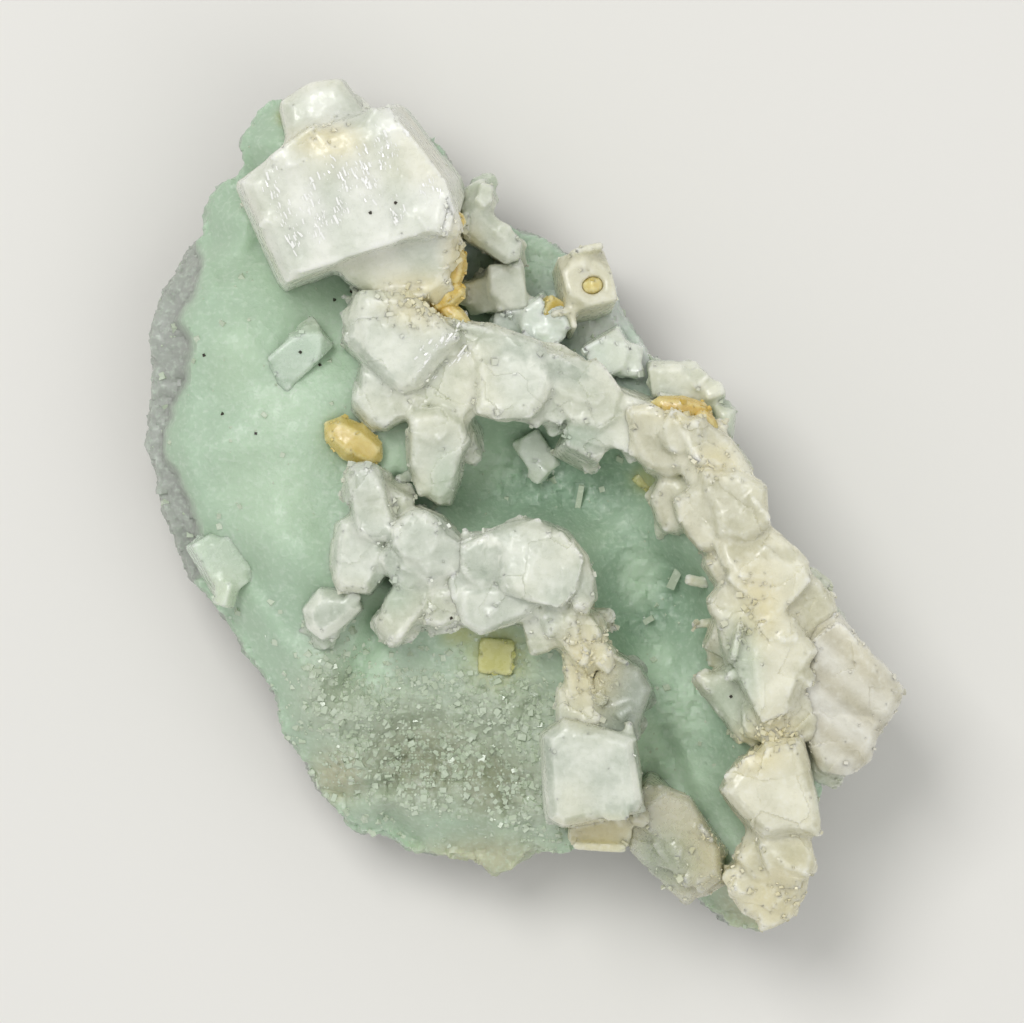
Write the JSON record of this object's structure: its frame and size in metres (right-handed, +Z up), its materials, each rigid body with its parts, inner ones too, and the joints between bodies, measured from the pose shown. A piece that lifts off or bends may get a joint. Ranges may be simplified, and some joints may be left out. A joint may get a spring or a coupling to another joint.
{
  "type": "prehnite specimen",
  "caption": "Hand-sized mineral specimen: a mint-green prehnite crust with white blocky apophyllite crystals and small honey calcites, resting on its flat broken back.",
  "frame": {"origin": "middle of the bounding box at the level of the flat on the broken back", "axes": "+Z up out of the crystal face, +Y along the specimen's length towards the big block, +X to the specimen's right seen from above with +Y ahead"},
  "size_m": [0.0545, 0.0613, 0.0247],
  "materials": {
    "prehnite": "waxy, smooth on the dome and finely crystallised lower down",
    "apophyllite": "milky white, pearly to glassy faces",
    "calcite": "honey yellow, glassy"
  },
  "bodies": {
    "root": {"prehnite_crust": "prehnite", "apophyllite_basin_tablet": "apophyllite", "apophyllite_big_block": "apophyllite", "apophyllite_centre_cluster": "apophyllite", "apophyllite_clear_block": "apophyllite", "apophyllite_dome_tablet": "apophyllite", "apophyllite_edge_slab": "apophyllite", "apophyllite_foot_blocks": "apophyllite", "apophyllite_foot_cluster": "apophyllite", "apophyllite_left_tablet": "apophyllite", "apophyllite_recess_corner": "apophyllite", "apophyllite_recess_edge": "apophyllite", "apophyllite_recess_low": "apophyllite", "apophyllite_recess_pair": "apophyllite", "apophyllite_right_ridge": "apophyllite", "apophyllite_round_block": "apophyllite", "apophyllite_round_cluster": "apophyllite", "apophyllite_shelf_block": "apophyllite", "apophyllite_square_block": "apophyllite", "apophyllite_top_prism": "apophyllite", "apophyllite_upper_ridge": "apophyllite", "apophyllite_wedge_block": "apophyllite", "calcite_band": "calcite", "calcite_block_spot": "calcite", "calcite_diamond": "calcite", "calcite_edge_spot": "calcite", "calcite_green_spot": "calcite", "calcite_green_square": "calcite", "calcite_oval": "calcite", "calcite_strip": "calcite"}
  },
  "joints": []
}
